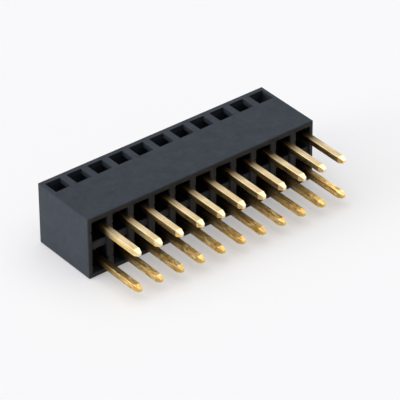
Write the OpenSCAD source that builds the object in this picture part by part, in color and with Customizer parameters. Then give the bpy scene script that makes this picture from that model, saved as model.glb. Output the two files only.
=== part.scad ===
// Bottom entry female header, two rows, for square posts that come up through the board.
// The header lies on one long side: X runs along the columns, -Y faces the board, +Y is the
// mating side and Z crosses the two rows. The origin is the centre of the grid of posts on
// the board side. All sizes are in millimetres.

/* [Grid] */
// Spacing of the columns, and of the two rows of posts
pitch = 2.54; // [2.1:0.01:3.2]
// Number of columns
columns = 11; // [2:1:29]
// Side of the square posts that the header takes
post_w = 0.64; // [0.5:0.01:0.8]

/* [Housing] */
// Distance from the board side to the mating side
body_depth = 8.2; // [6.8:0.1:12]
// Wall between neighbouring columns
partition_t = 0.66; // [0.5:0.01:0.8]
// Plastic at each end, past the half wall of the last column
end_extra = 0.08; // [0:0.01:0.5]
// Thickness of the two long outer walls
lip_t = 0.52; // [0.45:0.01:0.9]
// Thickness of the wall on the mating side
mating_wall_t = 0.62; // [0.5:0.01:0.9]
// How far the rib between the rows stands back from the board side
rib_recess = 0.25; // [0.1:0.01:0.8]
// Bevel on the two edges of the rib, which leads the posts in
rib_bevel = 0.1; // [0.05:0.01:0.2]
// Radius of the housing's outer edges
edge_r = 0.16; // [0.05:0.01:0.4]
// Radius of the corners inside a cell
cell_r = 0.12; // [0.04:0.01:0.2]

/* [Windows] */
// Length of a window in the long walls, back from the mating wall
window_len = 1.8; // [1:0.05:2.2]
// Land between a window's side and the wall of its cell
window_land = 0.06; // [0.03:0.01:0.3]

/* [Post entries] */
// Width that the lead-in of a hole in the mating wall adds on each side
lead_in_w = 0.25; // [0.1:0.01:0.35]
// Depth of that lead-in
lead_in_depth = 0.3; // [0.1:0.01:0.4]

/* [Contacts] */
// Thickness of the strip that the contacts are folded from
strip_t = 0.2; // [0.15:0.01:0.25]
// Inner radius of the folds
bend_r = 0.12; // [0.08:0.01:0.3]
// Where the wings start, from the board side
wing_start = 1.9; // [0.8:0.05:2]
// Height of the wings
wing_len = 1.3; // [1.1:0.05:1.5]
// Height of the shoulders that stop on the ends of the grooves
shoulder_len = 0.3; // [0.2:0.05:0.5]
// Depth of the groove that a wing slides in
groove_d = 0.1; // [0.08:0.01:0.18]
// Size of the barbs on the wings
barb = 0.06; // [0.03:0.01:0.07]
// Height of the folded box above the wings
box_len = 1.4; // [1:0.05:1.5]
// Width of a leaf where it leaves the box
leaf_root_w = 1.1; // [0.8:0.05:1.3]
// Width of a leaf at its tip
leaf_tip_w = 0.7; // [0.5:0.05:0.8]
// Radius of the grip that touches the post
grip_r = 0.5; // [0.3:0.05:0.8]
// How far each leaf stands in the way of a post, which it grips by bending
squeeze = 0.06; // [0.03:0.01:0.1]
// Length of the flared mouth past the grip
flare_len = 0.8; // [0.5:0.05:1]
// How far each leaf flares out to its tip
flare_w = 0.12; // [0.05:0.01:0.16]

/* [Tails] */
// Side of the square solder tail
tail_w = 0.7; // [0.5:0.01:0.8]
// Length of the tail past the board side
tail_len = 6.1; // [2.5:0.1:14]
// Length of the tapered end
point_len = 0.7; // [0.3:0.05:1.2]
// Width of the tapered end where its nose begins
point_w = 0.36; // [0.3:0.01:0.45]
// Bevel of the nose, which leaves a small flat
nose = 0.08; // [0.05:0.01:0.12]
// Chamfer along the tail's corners
tail_chamfer = 0.05; // [0.02:0.01:0.12]
// How far the tails stand to one side of the posts, along the columns
tail_shift = 0.3; // [0:0.01:0.35]

/* [Clearances] */
// Between a post and the walls of the folded box, on each side
post_clear = 0.14; // [0.08:0.01:0.2]
// Between a post and its hole in the mating wall, on each side
entry_clear = 0.18; // [0.1:0.01:0.25]
// Between a tail and the long outer wall
tail_clear = 0.55; // [0.3:0.01:1]
// Between the folded box and the side walls of its cell
box_clear = 0.05; // [0.03:0.01:0.1]
// Between the folded box and the rib
rib_clear = 0.17; // [0.03:0.01:0.2]
// Between a wing and the sides of its groove
groove_clear = 0.02; // [0.01:0.01:0.04]
// Between the leaf tips and the mating wall
tip_clear = 0.35; // [0.2:0.01:0.6]

/* [Hidden] */
$fn = 32;
past = 0.5;     // how far a cut runs past the face that it opens
rows = ["upper", "lower"];

// Along X, across one column
cell_w = pitch - partition_t;
body_len = columns * pitch + 2 * end_extra;
window_w = cell_w - 2 * window_land;
box_half = cell_w / 2 - box_clear;
wing_half = cell_w / 2 + groove_d - groove_clear;

// Along Y, from the board side to the mating side
cell_depth = body_depth - mating_wall_t;
wing_stop = wing_start + wing_len;
box_end = wing_stop + box_len;
leaf_tip = cell_depth - tip_clear;
grip_y = leaf_tip - flare_len;

// Along Z, across the rows. leaf_z is the inner face of the outer leaf, from its post's axis
post_z = pitch / 2;
leaf_z = post_w / 2 + post_clear;
grip_z = post_w / 2 - squeeze;
cell_in_z = post_z - leaf_z - strip_t - rib_clear;
cell_out_z = post_z + leaf_z + tail_w + tail_clear;
body_height = 2 * (cell_out_z + lip_t);

function column_x(c) = (c - (columns + 1) / 2) * pitch;
function contact_name(row, c) = str("contact_", row, c < 10 ? "_0" : "_", c);
function flipped(points) = [for (i = [len(points) - 1:-1:0]) [-points[i].x, points[i].y]];

// ---- outlines and the ways they are extruded ----

module rounded_rect(w, h, r) {
    square([w - 2 * r, h], center = true);
    square([w, h - 2 * r], center = true);
    for (sx = [-1, 1], sy = [-1, 1])
        translate([sx * (w / 2 - r), sy * (h / 2 - r)]) circle(r);
}

// An outline in (x, z), from y0 to y1
module along_y(y0, y1) {
    translate([0, y1, 0]) rotate([90, 0, 0]) linear_extrude(y1 - y0) children();
}

// An outline in (y, z), across a width centred on x = 0
module along_x(w) {
    rotate([90, 0, 90]) linear_extrude(w, center = true) children();
}

// ---- housing ----

// The moulding's outer shape: three outlines crossed, so that every edge is round
module outer_block() {
    y_mid = body_depth / 2;
    translate([0, y_mid, 0]) intersection() {
        linear_extrude(body_height, center = true) rounded_rect(body_len, body_depth, edge_r);
        along_y(-y_mid, y_mid) rounded_rect(body_len, body_height, edge_r);
        along_x(body_len) rounded_rect(body_depth, body_height, edge_r);
    }
}

// One cell of the upper row: its pocket, the grooves for the wings and its window
module cell_cut() {
    along_y(-past, cell_depth) translate([0, (cell_in_z + cell_out_z) / 2])
        rounded_rect(cell_w, cell_out_z - cell_in_z, cell_r);
    groove_half = cell_w / 2 + groove_d;
    translate([-groove_half, -past, post_z + leaf_z - groove_clear])
        cube([2 * groove_half, wing_stop + past, strip_t + 2 * groove_clear]);
    translate([-window_w / 2, cell_depth - window_len, cell_out_z - cell_r])
        cube([window_w, window_len, lip_t + cell_r + past]);
}

// The square hole in the mating wall, with a lead-in on its four sides
module entry_cut() {
    hole = post_w / 2 + entry_clear;
    mouth = hole + lead_in_w * (1 + past / lead_in_depth);
    edge = [
        [cell_depth - past, hole],
        [body_depth - lead_in_depth, hole],
        [body_depth + past, mouth]
    ];
    outline = concat(edge, [for (i = [2:-1:0]) [edge[i].x, -edge[i].y]]);
    intersection() {
        along_x(2 * mouth) polygon(outline);
        linear_extrude(2 * mouth, center = true) polygon([for (p = outline) [p.y, p.x]]);
    }
}

// What stands the rib back from the board side, across one column
module rib_cut() {
    z = cell_in_z + cell_r;
    bevel_z = cell_in_z - rib_bevel;
    edge = [
        [-past, z], [rib_recess + rib_bevel, z],
        [rib_recess + rib_bevel, cell_in_z], [rib_recess, bevel_z]
    ];
    along_x(cell_w) polygon(concat(edge, [for (i = [3:-1:0]) [edge[i].x, -edge[i].y]]));
}

module housing() {
    color("#2d3036") difference() {
        outer_block();
        for (c = [1:columns]) translate([column_x(c), 0, 0]) {
            rib_cut();
            for (side = [0, 1]) mirror([0, 0, side]) {
                cell_cut();
                translate([0, 0, post_z]) entry_cut();
            }
        }
    }
}

// ---- contact, drawn about the axis of its post, with its tail on the +Z side ----

// Solder tail: square, tapered to a nose, and coined down to the strip where it joins the wings
module tail() {
    z_mid = leaf_z + tail_w / 2;
    half = tail_w / 2;
    root = wing_stop - shoulder_len;
    point = [
        [-tail_len + point_len, half], [-tail_len + nose, point_w / 2],
        [-tail_len, point_w / 2 - nose]
    ];
    side_view = concat(
        [[root, -half], [root, strip_t - half], [root - tail_w + strip_t, half]],
        point, [for (i = [2:-1:0]) [point[i].x, -point[i].y]]
    );
    top_view = concat(
        [[-half, root], [half, root]],
        [for (p = point) [p.y, p.x]], flipped([for (p = point) [p.y, p.x]])
    );
    translate([tail_shift, 0, z_mid]) intersection() {
        along_x(tail_w) polygon(side_view);
        linear_extrude(tail_w, center = true) polygon(top_view);
        along_y(-tail_len, root) tail_section();
    }
}

module tail_section() {
    half = tail_w / 2;
    flat = half - tail_chamfer;
    right = [[flat, -half], [half, -flat], [half, flat], [flat, half]];
    polygon(concat(right, flipped(right)));
}

// Flat wings that slide in the grooves: barbs that bite against pulling out, then the
// shoulders that stop on the ends of the grooves
module wings() {
    barb_step = (wing_len - shoulder_len) / 2;
    teeth = [for (i = [0, 1], p = [[-barb, 0], [0, 0], [-barb, 0.8 * barb_step]])
        [wing_half + p.x, wing_start + (i + 0.2) * barb_step + p.y]];
    right = concat(
        [[wing_half - barb, wing_start]], teeth,
        [[wing_half, wing_stop - shoulder_len], [wing_half, wing_stop]]
    );
    translate([0, 0, leaf_z]) linear_extrude(strip_t) polygon(concat(right, flipped(right)));
}

// Three sides of a box round the post, which stays open towards +X
module folded_box() {
    along_y(wing_stop, box_end) {
        intersection() {
            difference() {
                rounded_rect(2 * box_half, 2 * (leaf_z + strip_t), bend_r + strip_t);
                rounded_rect(2 * (box_half - strip_t), 2 * leaf_z, bend_r);
            }
            translate([-box_half, -leaf_z - strip_t])
                square([box_half, 2 * (leaf_z + strip_t)]);
        }
        translate([0, leaf_z]) square([box_half, strip_t]);
        translate([0, -leaf_z - strip_t]) square([leaf_root_w / 2, strip_t]);
    }
}

// A leaf: it closes on the grip, which is round, and flares out to its tip
module leaf() {
    closing = atan2(leaf_z - grip_z, grip_y - box_end);
    opening = atan2(flare_w, flare_len);
    steps = 6;
    face = concat(
        [[box_end, leaf_z]],
        [for (i = [0:steps]) let (a = (closing + opening) * i / steps - closing)
            [grip_y + grip_r * sin(a), grip_z + grip_r * (1 - cos(a))]],
        [[leaf_tip, grip_z + flare_w]]
    );
    last = len(face) - 1;
    right = [[leaf_root_w / 2, box_end], [leaf_tip_w / 2, leaf_tip]];
    intersection() {
        along_x(leaf_root_w)
            polygon(concat(face, [for (i = [last:-1:0]) face[i] + [0, strip_t]]));
        linear_extrude(pitch) polygon(concat(right, flipped(right)));
    }
}

module contact() {
    color("#d9ad55") {
        tail();
        wings();
        folded_box();
        leaf();
        mirror([0, 0, 1]) leaf();
    }
}

housing();
for (side = [0, 1], c = [1:columns])
    mirror([0, 0, side]) translate([column_x(c), 0, post_z]) contact();
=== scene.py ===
# %% [markdown]
# # A bottom entry female header, lying on one long side
# This header is soldered to a board, and takes posts that come up through the board. It is
# one black moulded housing with two rows of gold-plated contacts, whose square tails stand
# out of the board side. It has no moving parts.
#
# The shapes are all in the CAD frame, in metres. What is left for Blender is how the
# surfaces look, what they lie on and how they are lit. So this lesson is about finishes
# that hold up close to, on a part that is only 28 mm long.

import math

import bpy
from mathutils import Matrix, Vector


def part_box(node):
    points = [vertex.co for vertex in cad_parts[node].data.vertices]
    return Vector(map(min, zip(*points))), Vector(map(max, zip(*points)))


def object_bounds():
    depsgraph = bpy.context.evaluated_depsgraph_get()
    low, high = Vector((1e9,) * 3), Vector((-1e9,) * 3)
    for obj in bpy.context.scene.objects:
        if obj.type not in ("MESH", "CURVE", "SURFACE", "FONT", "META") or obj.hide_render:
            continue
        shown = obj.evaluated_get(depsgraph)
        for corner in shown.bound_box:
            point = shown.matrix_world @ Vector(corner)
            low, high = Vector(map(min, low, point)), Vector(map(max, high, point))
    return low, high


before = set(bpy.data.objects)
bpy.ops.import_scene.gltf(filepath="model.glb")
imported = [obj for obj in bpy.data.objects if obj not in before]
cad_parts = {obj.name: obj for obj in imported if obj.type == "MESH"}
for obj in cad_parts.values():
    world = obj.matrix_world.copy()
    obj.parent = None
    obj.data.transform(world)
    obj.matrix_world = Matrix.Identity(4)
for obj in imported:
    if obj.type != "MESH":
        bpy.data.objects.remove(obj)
cad_low, cad_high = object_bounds()
MM = 0.001
scene = bpy.context.scene
print("frame:", len(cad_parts), "nodes, corners in mm",
      [round(v / MM, 2) for v in (*cad_low, *cad_high)])

# %% [markdown]
# ## Directions round the part
# The camera and the lamps all stand round the part and look at it. Each could be placed by
# coordinates, but "a little left, and a third of the way up" is easier to think in and to
# change. So one helper turns two angles into a direction. The azimuth goes round the part,
# with 0 in front of the board side and 90 at the +X end. The elevation goes up from the
# floor.

# %% A direction from two angles


def direction(azimuth, elevation):
    """The unit vector from the part towards a place at these angles, in degrees."""
    a, e = math.radians(azimuth), math.radians(elevation)
    return Vector((math.sin(a) * math.cos(e), -math.cos(a) * math.cos(e), math.sin(e)))


print("straight above:", [round(v, 3) for v in direction(0, 90)])

# %% [markdown]
# ## Camera
# A small part is best seen through a long lens from a little way off. Its parallel edges
# then stay nearly parallel, and only a slight convergence shows which end is near.
#
# A camera can be turned by Euler angles, or by a "track to" constraint. Here its three axes
# are written as a matrix instead. Then the azimuth, the elevation and the small roll are
# three plain numbers, and none of them disturbs the others.

# %% Place the camera
CAMERA_AZIMUTH = -38.0
CAMERA_ELEVATION = 34.2
CAMERA_ROLL = -0.47
CAMERA_DISTANCE = 307.5 * MM
CAMERA_LENS = 279.7
SENSOR_WIDTH = 36
NEAREST_SEEN, FARTHEST_SEEN = 10 * MM, 20
AIM = Vector((0.69, 1.44, -1.21)) * MM


def make_camera():
    back = direction(CAMERA_AZIMUTH, CAMERA_ELEVATION)
    turn = Matrix.Rotation(math.radians(CAMERA_ROLL), 3, back)
    right = turn @ Vector((0, 0, 1)).cross(back).normalized()
    data = bpy.data.cameras.new("camera")
    data.sensor_width = SENSOR_WIDTH
    data.lens = CAMERA_LENS
    data.clip_start = NEAREST_SEEN
    data.clip_end = FARTHEST_SEEN
    camera = bpy.data.objects.new("camera", data)
    scene.collection.objects.link(camera)
    place = Matrix((right, back.cross(right), back)).transposed().to_4x4()
    place.translation = AIM + back * CAMERA_DISTANCE
    camera.matrix_world = place
    return camera


scene.camera = make_camera()
print("camera at", [round(v / MM) for v in scene.camera.matrix_world.translation], "mm")

# %% [markdown]
# ## A finish, and short words for its nodes
# A finish is a tree of nodes. Written out, each node takes three or four lines, and the
# idea gets lost. So one small class makes a material with its Principled shader, adds nodes
# and joins them, and the recipes below stay short.
#
# Two outputs of the Texture Coordinate node are kept at hand, as nearly every recipe asks
# one of two questions: where a point lies on the part, and which way its face looks.

# %% A finish


class Finish:
    """A material and its node tree, with short ways to add and join nodes."""

    def __init__(self, name):
        self.material = bpy.data.materials.new(name)
        self.material.use_nodes = True
        self.tree = self.material.node_tree
        self.tree.nodes.clear()
        self.shader = self.node("ShaderNodeBsdfPrincipled")
        self.out = self.node("ShaderNodeOutputMaterial")
        self.join(self.shader.outputs["BSDF"], self.out.inputs["Surface"])
        coords = self.node("ShaderNodeTexCoord")
        self.place = coords.outputs["Object"]
        self.facing = coords.outputs["Normal"]

    def node(self, kind, **settings):
        made = self.tree.nodes.new(kind)
        for name, value in settings.items():
            setattr(made, name, value)
        return made

    def join(self, source, socket):
        """Feeds a socket from an output, or writes a plain value into it."""
        if isinstance(source, bpy.types.NodeSocket):
            self.tree.links.new(source, socket)
        elif socket.type == "RGBA":
            socket.default_value = (*source, 1)
        else:
            socket.default_value = source

    def feed(self, source, name):
        """Feeds one of the Principled shader's own sockets."""
        self.join(source, self.shader.inputs[name])


plastic = Finish("black_plastic")
gold = Finish("gold_plate")
paper = Finish("floor_paper")
print("finishes:", [finish.material.name for finish in (plastic, gold, paper)])

# %% [markdown]
# ## Sums, ranges and blends
# Three kinds of node do most of the work in any recipe. Math adds, multiplies or compares.
# Map Range turns one range of values into another. Mix goes from one colour to a second as
# its factor goes from 0 to 1.
#
# Each helper adds one such node and gives back its output. It also takes a plain number or
# colour wherever it takes an output, because most of the amounts in a recipe are fixed.

# %% Sums, ranges and blends


def sum_node(finish, operation, *values):
    made = finish.node("ShaderNodeMath", operation=operation)
    for value, socket in zip(values, made.inputs):
        finish.join(value, socket)
    return made.outputs["Value"]


def spread(finish, value, start, end, low=0.0, high=1.0):
    """Maps a value from start..end to low..high, and holds it at the ends."""
    made = finish.node("ShaderNodeMapRange")
    for source, name in ((value, "Value"), (start, "From Min"), (end, "From Max"),
                         (low, "To Min"), (high, "To Max")):
        finish.join(source, made.inputs[name])
    return made.outputs["Result"]


def blend(finish, share, first, second, kind="RGBA"):
    """The first colour at a share of 0 and the second at 1; with kind FLOAT, two numbers."""
    made = finish.node("ShaderNodeMix", data_type=kind)
    for source, name in ((share, "Factor"), (first, "A"), (second, "B")):
        finish.join(source, made.inputs[name])
    return made.outputs["Result"]


print("helpers:", [helper.__name__ for helper in (sum_node, spread, blend)])

# %% [markdown]
# ## Where a point lies, and which way it faces
# On the real part, a moulding is one plastic and a pin is one metal all over. But the light
# falls on each side of them in its own way, and a few lamps can't repeat all of it. So some
# of that difference is painted into the finishes of this lesson, and a few cells below say
# where. It is a help to the lamps, and not a fact about the material.
#
# Each side could have a material of its own. Here one finish asks for the point's place or
# its normal along an axis instead, so a rounded edge goes smoothly from one look to the next.

# %% Along an axis
LOOKS_AWAY, LOOKS_ALONG = 0.3, 0.7


def along(finish, vector, axis):
    """One part of a place or a normal."""
    parts = finish.node("ShaderNodeSeparateXYZ")
    finish.join(vector, parts.inputs["Vector"])
    return parts.outputs[axis]


def faces(finish, axis, sign=1):
    """1 on faces that look along the axis, or against it with sign -1, and else 0."""
    return spread(finish, along(finish, finish.facing, axis),
                  sign * LOOKS_AWAY, sign * LOOKS_ALONG)


print("a face counts as turned away past", round(math.degrees(math.acos(LOOKS_AWAY))), "degrees")

# %% [markdown]
# ## Patterns in millimetres
# Nothing real is one even colour. A moulded face has slightly paler and darker patches, and
# a plated pin keeps the fine lines of the tools that shaped it. Such patterns could be
# painted as images, but an image has to be unwrapped onto the faces, and it blurs close to.
# Noise nodes do neither.
#
# Object coordinates are in metres here, so a noise of scale 1 would have one blotch a metre
# wide. A Mapping node in front of each noise turns its scale into blotches per millimetre,
# and can draw the blotches out along one axis. The pattern is tied to the part and not to
# the view, so it stays in place as the camera goes round.

# %% Noise
NOISE_LOW, NOISE_HIGH = 0.3, 0.7


def noise(finish, per_mm, detail, stretch=(1, 1, 1), rough=0.5):
    """Noise round 0.5; a stretch below 1 draws its blotches out along that axis."""
    place = finish.node("ShaderNodeMapping")
    finish.join(finish.place, place.inputs["Vector"])
    finish.join([per_mm / MM * share for share in stretch], place.inputs["Scale"])
    made = finish.node("ShaderNodeTexNoise")
    finish.join(place.outputs["Vector"], made.inputs["Vector"])
    for value, name in ((1.0, "Scale"), (detail, "Detail"), (rough, "Roughness")):
        finish.join(value, made.inputs[name])
    return made.outputs["Fac"]


def varied(finish, pattern, low=0.0, high=1.0):
    """A noise, pulled out so that it uses the whole way from low to high."""
    return spread(finish, pattern, NOISE_LOW, NOISE_HIGH, low, high)


print("noise is used from", NOISE_LOW, "to", NOISE_HIGH)

# %% [markdown]
# ## Fine relief
# Fibres in the plastic and fine lines in the metal are taken to be about a hundredth of a
# millimetre high. As real geometry they would take millions of faces, and nobody could see
# the difference. A Bump node only tilts the normals, which is what the eye notices in them.
# Its distance is a real height in metres, so it has to be as small as the relief is.

# %% Bump


def relief(finish, pattern, strength, height, under=None):
    """Raises the surface by up to height where the pattern is light."""
    made = finish.node("ShaderNodeBump")
    for source, name in ((pattern, "Height"), (strength, "Strength"), (height, "Distance")):
        finish.join(source, made.inputs[name])
    if under is not None:
        finish.join(under, made.inputs["Normal"])
    return made.outputs["Normal"]


print("helpers:", [helper.__name__ for helper in (along, faces, noise, varied, relief)])

# %% [markdown]
# ## Inside and outside of the housing
# The housing is a block full of small cells. Its outer faces are open to the light, but the
# walls of the cells lie deep in it, and hardly any light comes back out. The plastic is the
# same there, and the cells grow dark by themselves. A nearly black tone on their walls takes
# away only the last bluish glimmer, and is the first place where shade is painted.
#
# The cell walls could be given a material of their own, face by face. But the mesh of a CAD
# node is left as it is. Instead, the finish works out how deep each point lies under the
# block's six outer faces. The least of the six depths, as a share of the skin's thickness,
# tells an outer face from a cell wall. The front skin is thinner, so that a cell is dark
# right from its mouth.

# %% Depth under the skin
SIDE_SKIN = 0.65 * MM
FRONT_SKIN = 0.36 * MM


def depth_under_skin(finish):
    """How deep a point lies under the housing's outer faces, as a share of the skin."""
    low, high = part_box("housing")
    least = None
    for axis, near_skin in enumerate((SIDE_SKIN, FRONT_SKIN, SIDE_SKIN)):
        at = along(finish, finish.place, axis)
        for edge, skin in ((low[axis], near_skin), (high[axis], -SIDE_SKIN)):
            depth = sum_node(finish, "MULTIPLY_ADD", at, 1 / skin, -edge / skin)
            least = depth if least is None else sum_node(finish, "MINIMUM", least, depth)
    return least


print("skin in mm:", SIDE_SKIN / MM, "and in front", FRONT_SKIN / MM)

# %% [markdown]
# ## Tones of the plastic
# The housing is one blue-black moulding, most likely of glass-filled plastic, with faint
# patches. The real one has the same black all over. Its ends only look paler than its top,
# and the rim of the board side warmer, because of the light and the gold round them.
#
# One black with a paler patch here and there would be truer to the plastic, and is the
# better choice under other lamps. A stronger low lamp could bring out the end by itself, but
# it pales the floor and its shadows before the end is pale enough. So the lamp does half of
# it and painted light the rest: each way that a face looks has its own pair of tones, all
# mixed by the same patches. The ends are painted paler, as if more light fell on them, and
# the rim of the board side is painted warmer, a painted reflection of the gold. The price is
# that the ends stay paler in any light.

# %% Choose the tone
# Top tones: the plastic's own black. End tones: painted light. Board side: painted reflection.
TOP_TONES = (0.017, 0.023, 0.033), (0.032, 0.039, 0.051)
END_TONES_PAINTED_LIGHT = (0.030, 0.037, 0.049), (0.045, 0.054, 0.069)
BOARD_SIDE_PAINTED_REFLECTION = (0.022, 0.021, 0.021), (0.036, 0.034, 0.033)
# Painted shade for the walls of the cells and windows.
CELL_PAINTED_SHADE = (0.0035, 0.005, 0.009)
RIM_DEPTH = (0.4 * MM, 0.8 * MM)
CELL_DEPTH = (0.85, 1.1)


def plastic_tone(finish):
    patches = varied(finish, noise(finish, per_mm=0.6, detail=8, rough=0.7))
    tone, end, board_side = (blend(finish, patches, *pair)
                             for pair in (TOP_TONES, END_TONES_PAINTED_LIGHT, BOARD_SIDE_PAINTED_REFLECTION))
    sideways = sum_node(finish, "MAXIMUM", faces(finish, "X"), faces(finish, "X", -1))
    tone = blend(finish, sideways, tone, end)
    rim = spread(finish, along(finish, finish.place, "Y"), *RIM_DEPTH, 1.0, 0.0)
    forward = sum_node(finish, "MULTIPLY", faces(finish, "Y", -1), rim)
    tone = blend(finish, forward, tone, board_side)
    return blend(finish, spread(finish, depth_under_skin(finish), *CELL_DEPTH),
                 tone, CELL_PAINTED_SHADE)


plastic.feed(plastic_tone(plastic), "Base Color")
print("nodes for the tone:", len(plastic.tree.nodes))

# %% [markdown]
# ## Sheen of the plastic
# Glass fibres lie just under the moulded skin and roughen it, so it is satin and not glossy.
# A roughness that wanders a little breaks up the reflections, and a very fine relief stands
# for the fibres.
#
# The specular level is lower than real plastic's, which is about 0.5. It keeps the top face
# dark in a bright studio. With the real level the face would turn grey, as it mirrors the
# pale surroundings. The paleness is then left to the tones, where each face has its own.

# %% Make it satin
PLASTIC_ROUGHNESS = (0.42, 0.55)
PLASTIC_SPECULAR = 0.13
FIBRE_HEIGHT = 0.012 * MM

plastic.feed(PLASTIC_SPECULAR, "Specular IOR Level")
wear = noise(plastic, per_mm=2.0, detail=6)
plastic.feed(varied(plastic, wear, *PLASTIC_ROUGHNESS), "Roughness")
fibres = noise(plastic, per_mm=9.0, detail=3)
plastic.feed(relief(plastic, fibres, strength=0.5, height=FIBRE_HEIGHT), "Normal")
print("black plastic:", len(plastic.tree.nodes), "nodes")

# %% [markdown]
# ## Gold on the upper row
# Contacts of this kind are stamped from bronze strip, coined square and plated with a thin
# layer of gold. The plate follows the metal, so fine lines show along each tail as pale and
# deep streaks, and slow clouds break up what would else be an even band.
#
# A metal takes its whole look from its base colour and from what it reflects. One gold would
# be true to the plate. But the tops mirror the whole pale room and come out very pale, while
# the sides mirror each other and the black housing. So light is painted in: the tops are
# mixed from darker golds, a painted shade, and the sides from brighter ones, a painted
# reflection, which evens the two out.

# %% Gold of the upper row
# Painted shade: darker golds on the tops. Painted reflection: brighter golds on the sides.
TOP_GOLDS_PAINTED_DARKER = (0.49, 0.33, 0.12), (0.68, 0.53, 0.30)
TOP_STREAK = (0.70, 0.58, 0.37)
SIDE_GOLDS_PAINTED_BRIGHTER = (0.80, 0.50, 0.10), (1.0, 0.82, 0.48)
STREAK_SPREAD = (0.35, 0.65)

streaks = spread(gold, noise(gold, per_mm=7.0, detail=4, stretch=(1, 0.06, 1)),
                 *STREAK_SPREAD)
clouds = varied(gold, noise(gold, per_mm=2.5, detail=4, stretch=(1, 0.3, 1)))
top = blend(gold, streaks, blend(gold, clouds, *TOP_GOLDS_PAINTED_DARKER), TOP_STREAK)
side = blend(gold, streaks, *SIDE_GOLDS_PAINTED_BRIGHTER)
upper_gold = blend(gold, faces(gold, "Z"), side, top)
print("nodes so far:", len(gold.tree.nodes))

# %% [markdown]
# ## Gold on the lower row
# The lower row has the same plate as the upper one. But it lies close over the floor, in the
# upper row's shade, and mirrors the housing and its neighbours in small broken patches. So
# it looks like a deeper gold, with brown flecks and small bright glints. All three are painted
# here: the deeper gold is painted shade, the flecks are painted reflections of the housing,
# and the glints are painted highlights.
#
# Fine dents could break the mirrored light up in this way too, but painted spots are easier
# to bring to the right size and strength. A noise that is cut off above its middle gives
# scattered spots and leaves the rest alone. Two of them at different scales give spots that
# don't repeat each other.
#
# All contacts share one finish. So the finish asks for a point's height over the middle of
# the part, to know which of the two rows it belongs to.

# %% Gold of the lower row
ROW_BORDER = 0.5 * MM
# Painted light: deeper gold as shade, flecks as reflections of the housing, glints as
# highlights.
LOWER_GOLDS_PAINTED_SHADE = (0.46, 0.24, 0.035), (1.0, 0.72, 0.30)
FLECK_PAINTED_REFLECTION, FLECK_SPREAD, FLECK_MOST = (0.38, 0.18, 0.012), (0.51, 0.60), 0.75
GLINT_PAINTED_HIGHLIGHT, GLINT_SPREAD, GLINT_MOST = (1.0, 0.85, 0.42), (0.54, 0.66), 0.9

flecks = spread(gold, noise(gold, per_mm=6.0, detail=6, stretch=(1, 0.4, 1)),
                *FLECK_SPREAD, 0.0, FLECK_MOST)
glints = spread(gold, noise(gold, per_mm=3.0, detail=5, stretch=(1, 0.35, 1)),
                *GLINT_SPREAD, 0.0, GLINT_MOST)
lower_gold = blend(gold, flecks, blend(gold, streaks, *LOWER_GOLDS_PAINTED_SHADE), FLECK_PAINTED_REFLECTION)
lower_gold = blend(gold, glints, lower_gold, GLINT_PAINTED_HIGHLIGHT)
upper_row = spread(gold, along(gold, gold.place, "Z"), -ROW_BORDER, ROW_BORDER)
print("nodes so far:", len(gold.tree.nodes))

# %% [markdown]
# ## Along a tail
# The tapered ends look many ways at once and catch the lamps, so they look pale. Towards
# the housing a tail mirrors more and more of the black moulding, and its root looks brown,
# though the gold there is the same. The render shows some of this by itself. The finish
# helps with painted light: it takes each tip to one plain gold, on the upper row a paler one
# that is a painted highlight, and each root to brown, a painted shade. Further inside the
# housing only a little of that painted shade is left, so that the springs can be told from
# the walls.
#
# All of it depends only on the distance along Y, so a few ranges of Y are enough. The brown
# starts nearer to the tip in the lower row, where less light reaches the metal.

# %% Tip, root and springs
TIP_LENGTH = 0.8 * MM
# Painted highlight: the upper row's tip gold. Painted shade: the brown of the roots.
TIP_GOLDS = (0.61, 0.46, 0.18), (0.85, 0.72, 0.48)
ROOT_PAINTED_SHADE = (0.10, 0.062, 0.022)
LOWER_ROOT = (-4.5 * MM, -0.5 * MM)
UPPER_ROOT = (-3.0 * MM, -0.8 * MM)
SPRINGS = (1.0 * MM, 2.5 * MM)
SPRING_SHADE_LEFT = 0.2

y = along(gold, gold.place, "Y")
tip = spread(gold, y, cad_low.y + TIP_LENGTH, cad_low.y)
brown = blend(gold, upper_row, spread(gold, y, *LOWER_ROOT),
              spread(gold, y, *UPPER_ROOT), "FLOAT")
brown = sum_node(gold, "MULTIPLY", brown, spread(gold, y, *SPRINGS, 1.0, SPRING_SHADE_LEFT))
tail = blend(gold, upper_row, lower_gold, upper_gold)
tail = blend(gold, tip, tail, blend(gold, upper_row, *TIP_GOLDS))
gold.feed(blend(gold, brown, tail, ROOT_PAINTED_SHADE), "Base Color")
gold.feed(1.0, "Metallic")
print("tails from y", round(cad_low.y / MM, 2), "mm, tip", TIP_LENGTH / MM, "mm")

# %% [markdown]
# ## Sheen of the gold
# Solder tails are satin and not mirror bright. The upper row gets a little less roughness,
# which keeps its highlights narrow. Long thin lines of relief catch the light along each
# tail, and wide shallow dents make the reflections wander as they do on stamped metal.
#
# The lines are laid over the dents by feeding one Bump node's normal into the next. Adding
# the two patterns first would give both the same height, but the dents are deeper.

# %% Make it satin, with lines and dents
UPPER_ROUGHNESS = (0.25, 0.38)
LOWER_ROUGHNESS = (0.30, 0.46)
DENT_DEPTH = 0.03 * MM
LINE_HEIGHT = 0.01 * MM

wear = noise(gold, per_mm=5.0, detail=4, stretch=(1, 0.15, 1))
gold.feed(blend(gold, upper_row, varied(gold, wear, *LOWER_ROUGHNESS),
                varied(gold, wear, *UPPER_ROUGHNESS), "FLOAT"), "Roughness")
dents = relief(gold, noise(gold, per_mm=2.2, detail=3, stretch=(1, 0.5, 1)),
               strength=0.35, height=DENT_DEPTH)
lines = relief(gold, noise(gold, per_mm=14.0, detail=3, stretch=(1, 0.04, 1)),
               strength=0.3, height=LINE_HEIGHT, under=dents)
gold.feed(lines, "Normal")
print("gold plate:", len(gold.tree.nodes), "nodes")

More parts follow.
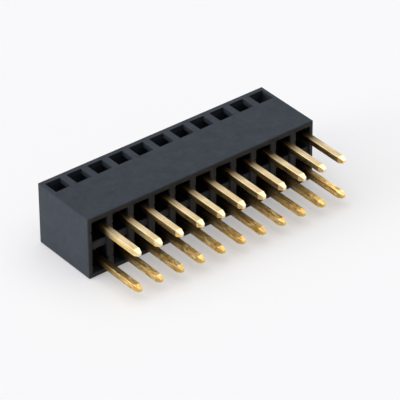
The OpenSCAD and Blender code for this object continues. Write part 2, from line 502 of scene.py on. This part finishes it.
# %% [markdown]
# ## Give the CAD nodes their finishes
# The housing is one moulding and each contact is one strip of metal, so two finishes are
# all that the part needs. Each CAD node's own material is taken off, and the finish put in
# its place.

# %% Paint the nodes


def paint(piece, finish):
    piece.data.materials.clear()
    piece.data.materials.append(finish.material)


for name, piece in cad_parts.items():
    if name == "housing":
        paint(piece, plastic)
    else:
        paint(piece, gold)
print("gold contacts:", len(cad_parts) - 1)

# %% [markdown]
# ## Which rays see the studio
# In a studio the paper and the walls look nearly white, but the light that they throw on
# the part is much weaker than the lamps'. One strength can't be right for both: a world that
# looks white would also flood the part and wash out its shadows.
#
# The Light Path node tells what a ray is for. Rays that go to the camera, or that a surface
# mirrors or lets through, see the pale studio. The rays that gather soft light for the floor
# and the plastic see a dimmer one.

# %% Rays that show the studio


def seen_directly(tree):
    """1 for rays that show the surroundings: to the camera, mirrored or through glass."""
    path = tree.nodes.new("ShaderNodeLightPath")
    seen = path.outputs["Is Camera Ray"]
    for ray in ("Is Glossy Ray", "Is Transmission Ray"):
        both = tree.nodes.new("ShaderNodeMath")
        both.operation = "MAXIMUM"
        tree.links.new(seen, both.inputs[0])
        tree.links.new(path.outputs[ray], both.inputs[1])
        seen = both.outputs["Value"]
    return seen


print("asked of the floor and the world:", seen_directly.__name__)

# %% [markdown]
# ## Paper for the floor
# Small parts are laid on a sheet of matt white paper, which runs on behind them, so that no
# edge shows. Matt paper has hardly any sheen, so the specular level is 0. Even a little of
# it would turn the floor fully white in low views and draw a line at the horizon.
#
# Plain white paper is pale enough under these lamps, but the shadow of the part comes out
# too deep on it. More light from the world would lift it, but would pale the part as well.
# So a share of plain pale light is mixed in for the rays that see the studio. It lifts the
# shadow alone, and leaves enough of it to set the part down on the paper.

# %% Mix the paper
PAPER_WHITE = (0.90, 0.90, 0.92)
PAPER_ROUGHNESS = 0.9
PAPER_GLOW = (0.955, 0.955, 0.97)
PAPER_GLOW_SHARE = 0.30

for value, name in ((PAPER_WHITE, "Base Color"), (PAPER_ROUGHNESS, "Roughness"),
                    (0.0, "Specular IOR Level")):
    paper.feed(value, name)
glow = paper.node("ShaderNodeEmission")
paper.join(PAPER_GLOW, glow.inputs["Color"])
share = sum_node(paper, "MULTIPLY", seen_directly(paper.tree), PAPER_GLOW_SHARE)
both = paper.node("ShaderNodeMixShader")
paper.join(share, both.inputs["Fac"])
paper.join(paper.shader.outputs["BSDF"], both.inputs[1])
paper.join(glow.outputs["Emission"], both.inputs[2])
paper.join(both.outputs["Shader"], paper.out.inputs["Surface"])
print("floor paper:", len(paper.tree.nodes), "nodes")

# %% [markdown]
# ## Floor
# The sheet is one large flat face, many times the size of the part. It lies a few microns
# under the housing, as two surfaces in exactly the same plane would flicker.

# %% Lay the floor
FLOOR_GAP = 0.005 * MM
FLOOR_REACH = 4.0


def lay_floor():
    z = cad_low.z - FLOOR_GAP
    corners = [(x * FLOOR_REACH, y * FLOOR_REACH, z)
               for x, y in ((-1, -1), (1, -1), (1, 1), (-1, 1))]
    mesh = bpy.data.meshes.new("floor")
    mesh.from_pydata(corners, [], [(0, 1, 2, 3)])
    mesh.materials.append(paper.material)
    floor = bpy.data.objects.new("floor", mesh)
    scene.collection.objects.link(floor)
    return z


print("floor at z", round(lay_floor() / MM, 3), "mm")

# %% [markdown]
# ## World light
# The room round the part is a light tent: pale cloth on all sides, which fills the shadows
# with cool, even light. Cloth walls could be modelled, but the world's background does the
# same without any objects. It has two levels, for the two kinds of ray.

# %% Light the room
ROOM_LIGHT = (0.198, 0.209, 0.220)
ROOM_SEEN = (0.93, 0.935, 0.95)


def make_world():
    world = bpy.data.worlds.new("studio")
    scene.world = world
    world.use_nodes = True
    tree = world.node_tree
    colour = tree.nodes.new("ShaderNodeMix")
    colour.data_type = "RGBA"
    colour.inputs["A"].default_value = (*ROOM_LIGHT, 1)
    colour.inputs["B"].default_value = (*ROOM_SEEN, 1)
    tree.links.new(seen_directly(tree), colour.inputs["Factor"])
    tree.links.new(colour.outputs["Result"], tree.nodes["Background"].inputs["Color"])
    return world


scene.view_settings.view_transform = "Standard"
print("world:", make_world().name)

# %% [markdown]
# ## Lamps
# Three soft lamps shape the part. The overhead one makes most of the light and the soft
# shadow under the tails. A second one, half way up on the left, lights the paper, the left
# end and parts of the gold. A low one is for the left end alone: at so flat an angle it adds
# little to the floor.
#
# Area lamps would need a size, a distance and a power each, and would fall off across even
# so small a part. A sun with a wide angle is as soft as a large lamp, and its strength is
# the same everywhere. None of the three stands where the top face would mirror it to the
# scene's camera, because that would wash out both the black and the gold. A low view from
# the right shows what happens otherwise: the tops of the tails mirror the low lamp there,
# and turn white.

# %% Set the lamps
LAMP_COLOUR = (1.0, 0.985, 0.965)


def make_sun(name, azimuth, elevation, strength, width):
    data = bpy.data.lights.new(name, "SUN")
    data.energy = strength
    data.color = LAMP_COLOUR
    data.angle = math.radians(width)
    sun = bpy.data.objects.new(name, data)
    scene.collection.objects.link(sun)
    sun.rotation_mode = "QUATERNION"
    sun.rotation_quaternion = direction(azimuth, elevation).to_track_quat("Z", "Y")
    print("lamp", name, "of strength", strength)


make_sun("overhead", azimuth=100, elevation=80, strength=1.70, width=80)
make_sun("left", azimuth=-112, elevation=48, strength=1.1, width=70)
make_sun("left_end", azimuth=-100, elevation=6, strength=1.5, width=30)
